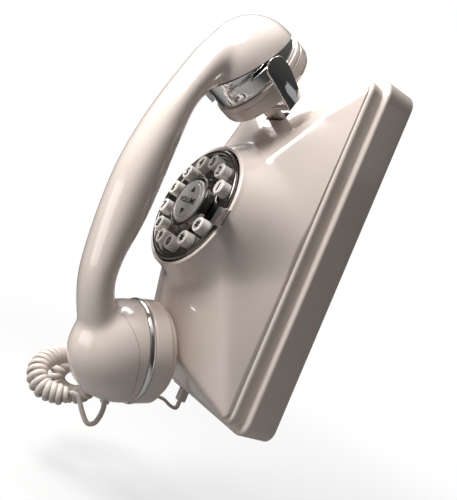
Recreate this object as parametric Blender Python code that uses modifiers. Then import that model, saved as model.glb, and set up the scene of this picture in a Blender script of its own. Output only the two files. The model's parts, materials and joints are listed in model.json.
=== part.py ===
# Wall telephone with a push-button dial laid out like a rotary one.
# Lengths in the settings are millimetres and are scaled to metres when a mesh is made.
# +X is the telephone's right, +Y points into the wall, +Z is up; the back plate lies on y = 0.
import math

import bmesh
import bpy
from mathutils import Matrix, Vector

MM = 0.001
WALL = 1.8                 # thickness of the moulded cover
GAP = 0.3                  # clearance between neighbouring pieces

# housing
HALF_W, HALF_H = 61.0, 102.0
SKIRT_DEPTH = 19.6         # straight side wall of the lower tier
PANEL_DEPTH = 28.0         # front edge of the raised tier
PANEL_W, PANEL_H = 55.0, 96.0
PANEL_RIM = 1.5            # the facets start this far outside the raised tier's edge
SIDE_RISE = (1.07, 0.0071)           # slope of the sides at mid height, change with height
FLANK = (74.5, 0.363, 0.2553)        # depth at the middle, fall to the side, rise with height
CHIN = (52.8, 0.22, -73.0)           # depth, slope, height where it has that depth
FOOT_SLOPE, BROW_SLOPE = 1.15, 0.417
FACET_BLEND = 5.0
BOSSES = [(-40.0, -86.0), (40.0, -86.0), (-40.0, 20.0), (40.0, 20.0)]
BOARD_BACK = -11.7         # where the pieces on the main board stand

# dial
DIAL_Y, DIAL_Z = -67.4, 2.6
DIAL_TILT = 7.7            # degrees, facing slightly upwards
COLLAR_R = 38.2            # moulded bezel round the dial
COLLAR_SLOPE, COLLAR_BLEND = 2.3, 9.0
OPENING_R = 35.6
BUTTON_R, BUTTON_RING_R = 4.6, 25.5
BUTTON_TOP = 4.6
FIRST_BUTTON, BUTTON_STEP = 28.0, 27.9
BUTTON_NAMES = ["1", "2", "3", "4", "5", "6", "7", "8", "9", "0", "star", "hash"]

# handset: the two cap axes lie in the plane x = 0 and tilt towards each other
EAR_Y, EAR_Z, EAR_TILT = -64.0, 84.6, -17.0
MOUTH_Y, MOUTH_Z, MOUTH_TILT = -69.3, -86.5, 13.0
HEAD_R, BULB_R = 28.0, 28.6
EAR_CUT = (10.0, 0.232)     # slanted end of the ear bulb: height on the axis, slope towards the bottom
# handle stations: y, z, half width, half depth
HANDLE = [(-82.0, 92.5, 17.0, 12.0), (-90.4, 78.5, 16.4, 10.8), (-96.6, 64.0, 15.6, 9.2),
          (-101.0, 50.0, 15.6, 8.6), (-103.4, 31.0, 16.2, 10.6), (-104.8, 7.0, 16.9, 12.4),
          (-105.0, -18.0, 16.9, 12.0), (-105.4, -38.0, 16.4, 9.8), (-103.4, -55.0, 16.0, 9.0),
          (-96.5, -71.0, 15.6, 9.6), (-88.0, -84.0, 15.0, 10.0)]

# hook: a fork round the neck of the ear end
HOOK_PIVOT = (-11.0, 60.6)
PRONG_IN, PRONG_OUT = 27.3, 29.5
SIDE_IN, SIDE_OUT = 29.1, 31.1

# cord route, from the mouth bulb to the jack in the bottom wall
TAIL_A = [(0.0, -69.9, -119.3), (0.0, -69.2, -122.4), (0.0, -69.5, -127.2), (-0.7, -70.7, -131.2),
          (-2.6, -73.6, -132.6), (-5.0, -76.8, -129.2), (-8.0, -79.4, -124.9), (-11.0, -81.2, -121.4),
          (-13.7, -82.6, -119.9)]
COIL = [(-14.6, -83.9, -124.1), (-17.0, -90.0, -125.0), (-21.0, -98.0, -125.0), (-26.0, -102.0, -121.0),
        (-32.0, -101.0, -116.0), (-38.0, -95.0, -112.0), (-44.0, -87.0, -110.0), (-49.0, -77.5, -109.5),
        (-50.4, -68.0, -110.5), (-48.9, -60.1, -117.0), (-50.7, -57.2, -126.0), (-54.8, -59.9, -134.0),
        (-58.2, -67.2, -136.0), (-59.4, -74.7, -133.0), (-60.2, -77.8, -127.0), (-61.7, -74.5, -120.5),
        (-63.5, -66.2, -116.5), (-63.2, -54.6, -115.5), (-56.5, -42.2, -116.0), (-31.0, -35.0, -114.0)]
TAIL_B = [(-29.8, -34.7, -113.7), (-25.5, -33.0, -113.2), (-21.5, -28.5, -113.2), (-20.0, -22.0, -114.2),
          (-20.0, -16.5, -116.8), (-20.0, -11.6, -117.4), (-20.0, -10.8, -113.2)]
COIL_R, TAIL_R = 5.9, 1.5             # outer radius of the curls, and of the straight cord

for old in list(bpy.data.objects):
    bpy.data.objects.remove(old, do_unlink=True)

parts = bpy.data.collections.new("wall_telephone")
tools = bpy.data.collections.new("cutters")
bpy.context.scene.collection.children.link(parts)
bpy.context.scene.collection.children.link(tools)


def make_material(name, colour, roughness, metallic=0.0):
    material = bpy.data.materials.new(name)
    material.use_nodes = True
    shader = material.node_tree.nodes["Principled BSDF"]
    shader.inputs["Base Color"].default_value = (*colour, 1.0)
    shader.inputs["Roughness"].default_value = roughness
    shader.inputs["Metallic"].default_value = metallic
    return material


ivory = make_material("ivory_plastic", (0.83, 0.79, 0.75), 0.12)
chrome = make_material("chrome", (0.86, 0.86, 0.87), 0.05, 1.0)
silver = make_material("silver_plastic", (0.55, 0.54, 0.53), 0.3, 0.6)
steel = make_material("zinc_steel", (0.6, 0.6, 0.62), 0.35, 1.0)
black = make_material("black_plastic", (0.02, 0.02, 0.02), 0.4)
rubber = make_material("grey_rubber", (0.12, 0.12, 0.12), 0.8)
board = make_material("circuit_board", (0.03, 0.2, 0.08), 0.5)
cordage = make_material("ivory_cord", (0.8, 0.75, 0.7), 0.4)


# ------- helpers
def place(data, name, parent=None, material=None, location=(0, 0, 0)):
    item = bpy.data.objects.new(name, data)
    parts.objects.link(item)
    item.location = Vector(location) * MM
    item.parent = parent
    if material:
        data.materials.append(material)
    return item


def frame(name, origin, turn):
    """Empty whose local Z looks out along a tilted axis in the plane x = 0."""
    empty = bpy.data.objects.new(name, None)
    parts.objects.link(empty)
    empty.location = Vector(origin) * MM
    empty.rotation_euler.x = math.radians(turn)
    return empty


def as_tool(item):
    parts.objects.unlink(item)
    tools.objects.link(item)
    item.hide_render = True
    item.display_type = "WIRE"
    return item


def combine(item, tool, operation):
    step = item.modifiers.new(operation.lower(), "BOOLEAN")
    step.object = as_tool(tool)
    step.operation = operation
    step.solver = "EXACT"


def cut(item, *cutters):
    for cutter in cutters:
        combine(item, cutter, "DIFFERENCE")


def join(item, *additions):
    for addition in additions:
        combine(item, addition, "UNION")


def box(name, low, high, parent=None, material=None, bevel=0.0):
    shape = bmesh.new()
    bmesh.ops.create_cube(shape, size=1.0)
    size = [high[i] - low[i] for i in range(3)]
    centre = [(high[i] + low[i]) / 2 for i in range(3)]
    bmesh.ops.scale(shape, vec=Vector(size) * MM, verts=shape.verts)
    bmesh.ops.translate(shape, vec=Vector(centre) * MM, verts=shape.verts)
    mesh = bpy.data.meshes.new(name)
    shape.to_mesh(mesh)
    shape.free()
    item = place(mesh, name, parent, material)
    if bevel:
        edge = item.modifiers.new("rounded", "BEVEL")
        edge.width = bevel * MM
        edge.segments = 1
    return item


def rod(name, radius, start, end, parent=None, material=None, sides=24):
    """Cylinder between two points."""
    start, end = Vector(start), Vector(end)
    shape = bmesh.new()
    bmesh.ops.create_cone(shape, cap_ends=True, segments=sides, radius1=radius * MM,
                          radius2=radius * MM, depth=(end - start).length * MM)
    turn = Vector((0, 0, 1)).rotation_difference(end - start).to_matrix().to_4x4()
    bmesh.ops.transform(shape, matrix=Matrix.Translation((start + end) / 2 * MM) @ turn,
                        verts=shape.verts)
    mesh = bpy.data.meshes.new(name)
    shape.to_mesh(mesh)
    shape.free()
    return place(mesh, name, parent, material)


def turned(name, profile, parent=None, material=None, steps=40, closed=False, location=(0, 0, 0)):
    """Profile of (radius, height) pairs turned about local Z, running down its outer side."""
    mesh = bpy.data.meshes.new(name)
    edges = [(i, i + 1) for i in range(len(profile) - 1)]
    if closed:
        edges.append((len(profile) - 1, 0))
    mesh.from_pydata([(r * MM, 0, h * MM) for r, h in profile], edges, [])
    item = place(mesh, name, parent, material, location)
    turn = item.modifiers.new("turned", "SCREW")
    turn.steps = turn.render_steps = steps
    turn.use_merge_vertices = True
    turn.merge_threshold = 0.00001
    turn.use_smooth_shade = True
    return item


def loft(name, rings, parent=None, material=None, capped=True):
    """Skin over a list of rings with equal point counts."""
    shape = bmesh.new()
    rows = [[shape.verts.new(Vector(point) * MM) for point in ring] for ring in rings]
    for near, far in zip(rows, rows[1:]):
        for i in range(len(near)):
            j = (i + 1) % len(near)
            shape.faces.new((near[i], near[j], far[j], far[i]))
    if capped:
        shape.faces.new(list(reversed(rows[0])))
        shape.faces.new(rows[-1])
    for face in shape.faces:
        face.smooth = True
    mesh = bpy.data.meshes.new(name)
    shape.to_mesh(mesh)
    shape.free()
    return place(mesh, name, parent, material)


def smooth_path(points, per_span):
    """Catmull-Rom curve through the points."""
    path = []
    ends = [Vector(points[0]) * 2 - Vector(points[1])] + [Vector(p) for p in points]
    ends.append(Vector(points[-1]) * 2 - Vector(points[-2]))
    for a, b, c, d in zip(ends, ends[1:], ends[2:], ends[3:]):
        for k in range(per_span):
            t = k / per_span
            path.append(0.5 * (2 * b + (c - a) * t + (2 * a - 5 * b + 4 * c - d) * t * t
                               + (3 * b - a - 3 * c + d) * t ** 3))
    path.append(Vector(points[-1]))
    return path


def tube(name, points, radius, material=None, resolution=2, parent=None):
    curve = bpy.data.curves.new(name, "CURVE")
    curve.dimensions = "3D"
    curve.bevel_depth = radius * MM
    curve.bevel_resolution = resolution
    curve.use_fill_caps = True
    spline = curve.splines.new("POLY")
    spline.points.add(len(points) - 1)
    for slot, point in zip(spline.points, points):
        slot.co = (*(Vector(point) * MM), 1.0)
    return place(curve, name, parent, material)


def plate(name, outline, thickness, parent=None, material=None):
    """Flat outline extruded either side of its own plane, turned into a mesh."""
    curve = bpy.data.curves.new(name, "CURVE")
    curve.dimensions = "2D"
    curve.fill_mode = "BOTH"
    curve.extrude = thickness / 2 * MM
    spline = curve.splines.new("POLY")
    spline.points.add(len(outline) - 1)
    for slot, point in zip(spline.points, outline):
        slot.co = (point[0] * MM, point[1] * MM, 0.0, 1.0)
    spline.use_cyclic_u = True
    flat = bpy.data.objects.new(name + "_outline", curve)
    parts.objects.link(flat)
    bpy.context.view_layer.update()
    mesh = bpy.data.meshes.new_from_object(flat.evaluated_get(bpy.context.evaluated_depsgraph_get()))
    bpy.data.objects.remove(flat, do_unlink=True)
    shape = bmesh.new()
    shape.from_mesh(mesh)
    bmesh.ops.remove_doubles(shape, verts=shape.verts, dist=0.00001)
    bmesh.ops.recalc_face_normals(shape, faces=shape.faces)
    shape.to_mesh(mesh)
    shape.free()
    mesh.materials.clear()
    return place(mesh, name, parent, material)


def arc_bar(name, section, start, end, steps, parent=None, material=None):
    """Rectangle (inner, outer, low, high) swept about local Z; 0 degrees points down, to +X."""
    inner, outer, low, high = section
    shape = bmesh.new()
    corners = [(inner, low), (outer, low), (outer, high), (inner, high)]
    verts = [shape.verts.new((0, -r * MM, h * MM)) for r, h in corners]
    face = shape.faces.new(verts)
    bmesh.ops.rotate(shape, verts=shape.verts, cent=(0, 0, 0),
                     matrix=Matrix.Rotation(math.radians(start), 3, "Z"))
    bmesh.ops.spin(shape, geom=[face, *face.edges, *face.verts], cent=(0, 0, 0), axis=(0, 0, 1),
                   angle=math.radians(end - start), steps=steps)
    bmesh.ops.recalc_face_normals(shape, faces=shape.faces)
    mesh = bpy.data.meshes.new(name)
    shape.to_mesh(mesh)
    shape.free()
    return place(mesh, name, parent, material)


# ------- front surface of the housing
def soft_min(a, b, r):
    h = max(r - abs(a - b), 0.0) / r
    return min(a, b) - h * h * r / 4


def front_height(x, z):
    """How far the moulded front stands out from the wall at a point outside the dial collar."""
    slope = SIDE_RISE[0] - SIDE_RISE[1] * max(-60.0, min(70.0, z))
    side = PANEL_DEPTH + slope * (PANEL_W + PANEL_RIM - abs(x))
    flank = FLANK[0] - FLANK[1] * abs(x) + FLANK[2] * z
    chin = CHIN[0] + CHIN[1] * (z - CHIN[2])
    foot = PANEL_DEPTH + FOOT_SLOPE * (z + PANEL_H + PANEL_RIM)
    brow = PANEL_DEPTH + BROW_SLOPE * (PANEL_H + PANEL_RIM - z)
    height = side
    for facet in (flank, chin, foot, brow):
        height = soft_min(height, facet, FACET_BLEND)
    lip = -DIAL_Y - math.tan(math.radians(DIAL_TILT)) * (z - DIAL_Z) - 2.0
    collar = lip - COLLAR_SLOPE * (math.hypot(x, z - DIAL_Z) - COLLAR_R)
    height = -soft_min(-height, -collar, COLLAR_BLEND)
    return max(PANEL_DEPTH, min(height, lip))


def outline(half_w, half_h, corner, per_side=4, per_corner=5):
    """Rounded rectangle, anticlockwise seen from the front, from the middle of the right side."""
    quarter = []
    for i in range(per_side):
        quarter.append((half_w, (half_h - corner) * i / per_side))
    for i in range(per_corner):
        angle = math.pi / 2 * i / (per_corner - 1)
        quarter.append((half_w - corner + corner * math.cos(angle),
                        half_h - corner + corner * math.sin(angle)))
    for i in range(1, per_side):
        quarter.append(((half_w - corner) * (1 - i / per_side), half_h))
    top = [(0.0, half_h)]
    upper = quarter + top + [(-x, z) for x, z in reversed(quarter[1:])]
    return upper + [(-half_w, 0.0)] + [(-x, -z) for x, z in quarter[1:] + top] + \
        [(x, -z) for x, z in reversed(quarter[1:])]


def cover_rings():
    rings = []
    tiers = [(0.0, 0.0, 9.0, 0.4), (0.0, 0.0, 9.0, SKIRT_DEPTH - 2.0),
             (0.6, 0.6, 8.6, SKIRT_DEPTH - 0.6), (1.8, 1.8, 8.0, SKIRT_DEPTH),
             (3.7, 3.7, 7.0, SKIRT_DEPTH), (3.9, 3.9, 6.8, SKIRT_DEPTH + 0.5),
             (3.9, 3.9, 6.8, PANEL_DEPTH - 2.6), (4.6, 4.6, 6.2, PANEL_DEPTH - 0.8)]
    for inset_w, inset_h, corner, depth in tiers:
        rings.append([(x, -depth, z) for x, z in outline(HALF_W - inset_w, HALF_H - inset_h, corner)])
    edge = outline(PANEL_W, PANEL_H, 6.0)
    count = len(edge)
    rings.append([(x, -PANEL_DEPTH, z) for x, z in edge])
    for share in (0.14, 0.3, 0.46, 0.62, 0.76, 0.87, 0.94, 1.0):
        ring = []
        for i, (x, z) in enumerate(edge):
            turn = 2 * math.pi * i / count
            px = x + (COLLAR_R * math.cos(turn) - x) * share
            pz = z + (DIAL_Z + COLLAR_R * math.sin(turn) - z) * share
            ring.append((px, -front_height(px, pz), pz))
        rings.append(ring)
    slope = math.tan(math.radians(DIAL_TILT))
    for radius, rise in ((COLLAR_R - 0.5, 1.2), (COLLAR_R - 1.2, 0.4), (OPENING_R, 0.3)):
        ring = []
        for i in range(count):
            turn = 2 * math.pi * i / count
            px, pz = radius * math.cos(turn), DIAL_Z + radius * math.sin(turn)
            ring.append((px, DIAL_Y + slope * (pz - DIAL_Z) + rise, pz))
        rings.append(ring)
    return rings


dial = frame("dial_frame", (0, DIAL_Y, DIAL_Z), 90.0 - DIAL_TILT)
ear = frame("ear_frame", (0, EAR_Y, EAR_Z), 90.0 + EAR_TILT)
mouth = frame("mouth_frame", (0, MOUTH_Y, MOUTH_Z), 90.0 + MOUTH_TILT)


def build_cover():
    cover = loft("housing_cover", cover_rings(), material=ivory, capped=False)
    shell = cover.modifiers.new("wall", "SOLIDIFY")
    shell.thickness = WALL * MM
    shell.offset = -1.0
    shell.use_even_offset = True
    # slot for the hook, jack opening and two switch openings in the bottom wall
    slot = box("hook_slot", (-9.5, -10.2, -46.0), (9.5, -3.4, -24.0), ear)
    jack = box("jack_opening", (-26.5, -17.0, -104.0), (-13.5, -6.0, -97.0))
    ringer = box("ringer_opening", (12.0, -12.5, -104.0), (22.0, -8.5, -97.0))
    tone = box("tone_opening", (32.0, -12.5, -104.0), (42.0, -8.5, -97.0))
    cut(cover, slot, jack, ringer, tone)


def build_base():
    edge = [spot for spot in outline(HALF_W - WALL - 0.4, HALF_H - WALL - 0.4, 7.6, 1, 5)
            if min(abs(spot[0]), abs(spot[1])) > 1.0]
    base = plate("base_plate", edge, 2.4, material=black)
    base.rotation_euler.x = math.radians(90)
    base.location.y = -1.2 * MM
    # the plate's own axes: x right, y up, z towards the front
    for x, z in BOSSES:
        join(base, turned("boss", [(3.0, 8.1), (3.0, 0.6), (1.8, 0.6), (1.8, 8.1)], base, steps=16,
                          closed=True, location=(x, z, 0)))
    for z in (76.0, -76.0):
        cut(base, rod("keyhole", 4.6, (0, z, -3), (0, z, 3), base, sides=16),
            box("keyhole_neck", (-2.2, z, -3), (2.2, z + 9.0, 3), base))
    cut(base, box("line_opening", (-7.3, -45.3, -3), (7.3, -26.7, 3), base))


def build_board():
    main = box("main_board", (-46.0, -11.4, -89.6), (46.0, -9.8, 28.0), material=board)
    for x, z in BOSSES:
        cut(main, rod("screw_hole", 1.9, (x, -15, z), (x, -8, z), sides=16))
        screw = turned("board_screw_%d" % (BOSSES.index((x, z)) + 1),
                       [(0, 2.2), (2.2, 1.6), (2.8, 0.0), (1.4, 0.0), (1.4, -5.0), (0, -5.0)],
                       material=steel, steps=16, location=(x, BOARD_BACK, z))
        screw.rotation_euler.x = math.radians(90)
    box("line_transformer", (16.0, -26.0, -80.0), (34.0, BOARD_BACK, -60.0), material=black, bevel=0.8)
    rod("line_capacitor", 5.0, (-30, -24, -62), (-30, BOARD_BACK, -62), material=black, sides=20)
    box("speech_chip", (-10.0, -14.6, -40.0), (10.0, BOARD_BACK, -32.0), material=black, bevel=0.3)
    ringer = turned("ringer", [(0, 6.0), (13.0, 6.0), (14.5, 4.8), (14.5, 0.0), (0, 0.0)],
                    material=black, steps=28, location=(-26.0, BOARD_BACK, -8.0))
    ringer.rotation_euler.x = math.radians(90)
    line_jack = box("line_jack", (-7.0, -9.4, -45.0), (7.0, -0.4, -27.0), material=black)
    cut(line_jack, box("line_socket", (-4.9, -7.5, -41.0), (4.9, 1.0, -31.0)))
    jack = box("handset_jack", (-26.2, -16.7, -103.0), (-13.8, -6.3, -90.0), material=black)
    cut(jack, box("jack_socket", (-23.2, -14.2, -104.0), (-16.8, -7.2, -92.0)))
    for label, x in (("ringer", 17.0), ("tone", 37.0)):
        body = box(label + "_switch_body", (x - 8.5, -14.5, -98.7), (x + 8.5, -6.6, -93.4),
                   material=steel)
        cut(body, box(label + "_way", (x - 6.0, -12.2, -101.0), (x + 6.0, -8.8, -95.0)))
        box(label + "_slider", (x - 4.7, -11.8, -104.2), (x - 0.3, -9.2, -95.4), material=black)


def build_hook():
    # side arms with the hump at the elbow; outline points are (outwards, up)
    arm = [(-16.4, -2.4), (-16.2, -13.2), (-8.0, -12.0), (1.6, -10.6), (3.6, -9.2), (8.6, -9.2),
           (10.8, -6.4), (11.4, -2.8), (10.6, 0.4), (8.2, 2.8), (4.6, 3.6), (0.0, 2.6)]
    yoke = plate("hook_yoke", arm, SIDE_OUT - SIDE_IN, ear, chrome)
    yoke.rotation_euler.y = math.radians(-90)
    yoke.location.x = (SIDE_IN + SIDE_OUT) / 2 * MM
    left = plate("left_arm", arm, SIDE_OUT - SIDE_IN, ear)
    left.rotation_euler.y = math.radians(-90)
    left.location.x = -(SIDE_IN + SIDE_OUT) / 2 * MM
    join(yoke, left)
    for side in (1, -1):
        join(yoke, arc_bar("elbow", (28.9, 31.0, 3.4, 10.0), side * 56, side * 84, 5, ear),
             arc_bar("prong", (PRONG_IN, PRONG_OUT, 3.4, 11.0), side * 28, side * 60, 6, ear))
    join(yoke, box("cross_bar", (-SIDE_OUT, -13.0, -16.3), (SIDE_OUT, -2.6, -14.2), ear),
         box("stem", (-8.0, -9.2, -52.5), (8.0, -6.4, -15.0), ear))
    lever = box("hook_lever", (-9.0, HOOK_PIVOT[0] - 3.6, HOOK_PIVOT[1] - 3.6),
                (9.0, HOOK_PIVOT[0] + 3.6, HOOK_PIVOT[1] + 3.6), material=steel)
    cut(lever, rod("lever_bore", 1.8, (-12, *HOOK_PIVOT), (12, *HOOK_PIVOT), sides=20),
        box("stem_relief", (-8.3, -9.5, -52.8), (8.3, -6.1, -30.0), ear))
    rod("hook_pin", 1.5, (-13.6, *HOOK_PIVOT), (13.6, *HOOK_PIVOT), material=steel, sides=20)
    y, z = HOOK_PIVOT
    bracket = box("hook_bracket", (-15.0, -4.8, 40.0), (15.0, -2.9, 70.0), material=steel)
    for side in (1, -1):
        ends = sorted((side * 10.0, side * 12.4))
        join(bracket, box("bracket_ear", (ends[0], y - 4.0, z - 4.5), (ends[1], -3.5, z + 4.5)))
    join(bracket, box("spring_shelf", (-6.0, -29.0, 44.0), (6.0, -3.5, 46.0)))
    cut(bracket, rod("pin_hole", 1.8, (-16, y, z), (16, y, z), sides=20))
    turns, wire, radius = 5, 0.45, 3.2
    low, high = 46.3 + wire, 61.6 - wire
    coil = [(radius * math.cos(2 * math.pi * k / 10), -24.0 + radius * math.sin(2 * math.pi * k / 10),
             low + (high - low) * k / (10 * turns)) for k in range(10 * turns + 1)]
    tube("hook_spring", coil, wire, steel, 1)
    box("hook_switch", (-19.0, -33.0, 50.0), (-9.5, -22.0, 58.0), material=black)


def build_dial():
    turned("dial_rim", [(33.6, 1.5), (34.5, 1.2), (35.1, 0.2), (35.1, -3.4), (32.3, -3.4), (32.0, 0.2),
                        (32.6, 1.2)], dial, chrome, 56, closed=True)
    disc = turned("dial_plate", [(0, -0.9), (20.0, -0.9), (28.0, -0.6), (31.6, 0.0), (31.6, -3.0),
                                 (0, -3.0)], dial, chrome, 44)
    hub_hole = rod("hub_hole", 5.0, (0, 0, -5), (0, 0, 2), dial)
    cut(disc, hub_hole)
    for i, label in enumerate(BUTTON_NAMES):
        turn = math.radians(FIRST_BUTTON + BUTTON_STEP * i)
        x, y = BUTTON_RING_R * math.cos(turn), BUTTON_RING_R * math.sin(turn)
        cut(disc, rod("button_hole", BUTTON_R + 0.35, (x, y, -5), (x, y, 2), dial, sides=14))
        turned("button_" + label,
               [(0, BUTTON_TOP), (BUTTON_R - 1.0, BUTTON_TOP), (BUTTON_R, BUTTON_TOP - 0.9),
                (BUTTON_R, -3.5), (BUTTON_R + 0.9, -3.5), (BUTTON_R + 0.9, -4.4), (0, -4.4)],
               dial, ivory, 16, location=(x, y, 0))
    turned("hub_ring", [(14.6, 3.9), (15.4, 3.6), (17.4, -0.2), (17.4, -0.6), (14.1, -0.6), (14.1, 3.5)],
           dial, chrome, 40, closed=True)
    turned("volume_button", [(0, 4.7), (9.0, 4.6), (12.8, 4.2), (13.4, 3.4), (13.4, 0.6), (3.4, 0.4),
                             (3.4, -5.6), (0, -5.6)], dial, silver, 36)
    stop = box("finger_stop", (31.2, -8.0, 1.9), (43.0, 2.0, 3.1), dial, chrome, 0.3)
    join(stop, box("stop_leg", (36.4, -6.5, 0.6), (39.2, 0.5, 2.4), dial))
    turned("contact_mat", [(31.0, -6.4), (31.0, -8.0), (5.0, -8.0), (5.0, -6.4)], dial, rubber, 40,
           closed=True)
    rod("keypad_board", 31.5, (0, 0, -9.9), (0, 0, -8.3), dial, board, 40)
    for i in range(3):
        turn = math.radians(90 + 120 * i)
        x, y = 28.0 * math.cos(turn), 28.0 * math.sin(turn)
        turned("dial_screw_%d" % (i + 1), [(0, -10.2), (2.6, -10.2), (2.2, -11.8), (0, -12.2)],
               dial, steel, 14, location=(x, y, 0))


def dome(radius, start, apex, count=9):
    """Half ellipse from the pole down to the start of the straight wall."""
    points = []
    for i in range(count):
        angle = math.pi / 2 * (1 - i / (count - 1))
        points.append((radius * math.cos(angle), start + (apex - start) * math.sin(angle)))
    points[0] = (0.0, apex)
    return points


def build_handset():
    stations = smooth_path([(y, z, 0) for y, z, w, d in HANDLE], 2)
    sizes = smooth_path([(w, d, 0) for y, z, w, d in HANDLE], 2)
    rings = []
    for i, (spot, size) in enumerate(zip(stations, sizes)):
        ahead = stations[min(i + 1, len(stations) - 1)] - stations[max(i - 1, 0)]
        along = Vector((0, ahead.x, ahead.y)).normalized()
        across = along.cross(Vector((1, 0, 0)))
        ring = []
        for k in range(22):
            turn = 2 * math.pi * k / 22
            ring.append(Vector((size.x * math.cos(turn), spot.x, spot.y)) + across * size.y * math.sin(turn))
        rings.append(ring)
    body = loft("handset_shell", rings, material=ivory)
    head = turned("head", dome(HEAD_R, 4.3, 32.2) + [(HEAD_R, 2.4), (0, 2.4)], ear, steps=36)
    bulb = turned("bulb", dome(BULB_R, 4.5, 33.8) + [(BULB_R, GAP), (0, GAP)], mouth, steps=36)
    join(body, head, bulb)
    offset, slope = EAR_CUT
    lean = math.atan(slope)
    slab = box("slanted_end", (-36, -33, -40), (36, 36, 0), ear)
    slab.location.z = (offset - GAP / 2) * MM
    slab.rotation_euler.x = -lean
    cut(body, slab)
    cut(body, rod("ear_pocket", 23.0, (0, 0, -2), (0, 0, 19.0), ear, sides=28),
        rod("mouth_pocket", 24.0, (0, 0, -2), (0, 0, 14.0), mouth, sides=28),
        box("plug_way", (-3.7, -34, 4.4), (3.7, -15.0, 11.4), mouth))

    ring = turned("ear_ring", [(26.8, 18.0), (26.8, 0.5), (24.0, 0.5), (24.0, 18.0)], ear, chrome, 44,
                  closed=True)
    keep = box("slanted_top", (-36, -36, 0), (36, 36, 30), ear)
    keep.location.z = (offset - 2 * GAP) * MM
    keep.rotation_euler.x = -lean
    cut(ring, keep)
    turned("ear_cap", [(0, -8.2), (25.4, -8.5), (25.4, 0.1), (28.0, 0.1), (28.4, -0.6), (28.4, -8.6),
                       (27.4, -10.6), (25.0, -11.6), (12.0, -10.9), (0, -10.5)], ear, ivory, 44)
    rod("receiver", 22.4, (0, 0, -7.6), (0, 0, 3.0), ear, black, 32)
    turned("mouth_ring", [(29.0, 0.0), (29.4, -0.6), (29.4, -2.6), (29.0, -3.2), (25.0, -3.2),
                          (25.0, 0.0)], mouth, chrome, 44, closed=True)
    turned("mouth_cap", [(0, -15.2), (22.4, -15.6), (22.4, -3.5), (28.4, -3.5), (28.9, -4.2),
                         (28.9, -12.0), (28.0, -13.3), (25.6, -13.7), (25.4, -16.6), (24.0, -18.2),
                         (12.0, -17.6), (0, -17.3)], mouth, ivory, 44)
    rod("microphone", 9.0, (0, 0, -14.6), (0, 0, -6.0), mouth, black, 24)
    socket = box("mouth_socket", (-3.4, -26.8, 4.7), (3.4, -15.4, 11.1), mouth, black)
    cut(socket, box("socket_mouth", (-2.6, -28, 5.5), (2.6, -17.0, 10.3), mouth))


def build_cord():
    box("cord_plug_handset", (-2.3, -31.2, 5.8), (2.3, -18.0, 10.0), mouth, cordage, 0.4)
    tube("cord_tail_handset", smooth_path(TAIL_A, 3), TAIL_R, cordage)
    tube("cord_coil", smooth_path(COIL, 3), COIL_R, cordage, 3)
    tube("cord_tail_housing", smooth_path(TAIL_B, 3), TAIL_R, cordage)
    box("cord_plug_housing", (-22.6, -13.4, -112.3), (-17.4, -8.2, -93.0), material=cordage, bevel=0.4)


build_cover()
build_base()
build_board()
build_hook()
build_dial()
build_handset()
build_cord()
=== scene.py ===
import json
import math

import bmesh
import bpy
from mathutils import Matrix, Vector
from mathutils.bvhtree import BVHTree


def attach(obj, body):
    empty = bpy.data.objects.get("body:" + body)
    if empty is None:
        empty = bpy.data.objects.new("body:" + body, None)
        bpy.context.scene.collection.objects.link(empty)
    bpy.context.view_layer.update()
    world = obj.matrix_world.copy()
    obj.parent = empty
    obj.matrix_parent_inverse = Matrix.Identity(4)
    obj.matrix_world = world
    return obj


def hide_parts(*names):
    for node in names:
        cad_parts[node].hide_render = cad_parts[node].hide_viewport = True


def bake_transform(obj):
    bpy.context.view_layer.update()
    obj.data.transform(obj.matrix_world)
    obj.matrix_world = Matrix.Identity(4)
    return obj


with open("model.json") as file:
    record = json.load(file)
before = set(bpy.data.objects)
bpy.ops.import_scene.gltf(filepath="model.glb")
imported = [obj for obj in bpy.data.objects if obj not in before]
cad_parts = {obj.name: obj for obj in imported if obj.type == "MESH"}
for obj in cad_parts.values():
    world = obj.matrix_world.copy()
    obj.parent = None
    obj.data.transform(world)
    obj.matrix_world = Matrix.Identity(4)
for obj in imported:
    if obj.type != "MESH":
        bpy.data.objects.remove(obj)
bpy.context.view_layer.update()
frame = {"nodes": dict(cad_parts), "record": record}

mm = 0.001
print("frame loaded:", len(frame["nodes"]), "nodes")

# tilted axes of the dial and of the two ends of the handset: y, z, turn about x
axes = {"dial": (-67.4, 2.6, 82.3), "ear": (-64.0, 84.6, 73.0), "mouth": (-69.3, -86.5, 103.0)}


def axisMatrix(name):
    y, z, turn = axes[name]
    return Matrix.Translation((0, y * mm, z * mm)) @ Matrix.Rotation(math.radians(turn), 4, "X")


def newMaterial(name, colour, roughness, metallic=0.0, coat=0.0):
    material = bpy.data.materials.new(name)
    material.use_nodes = True
    shader = material.node_tree.nodes["Principled BSDF"]
    shader.inputs["Base Color"].default_value = (*colour, 1)
    shader.inputs["Roughness"].default_value = roughness
    shader.inputs["Metallic"].default_value = metallic
    shader.inputs["Coat Weight"].default_value = coat
    shader.inputs["Coat Roughness"].default_value = 0.03
    return material, material.node_tree.nodes, material.node_tree.links, shader


# noise in the object's own coordinates
def objectNoise(nodes, links, scale, detail=3.0, stretch=(1, 1, 1)):
    place = nodes.new("ShaderNodeTexCoord")
    mapping = nodes.new("ShaderNodeMapping")
    mapping.inputs["Scale"].default_value = stretch
    noise = nodes.new("ShaderNodeTexNoise")
    noise.inputs["Scale"].default_value = scale
    noise.inputs["Detail"].default_value = detail
    links.new(place.outputs["Object"], mapping.inputs["Vector"])
    links.new(mapping.outputs["Vector"], noise.inputs["Vector"])
    return noise


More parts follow.
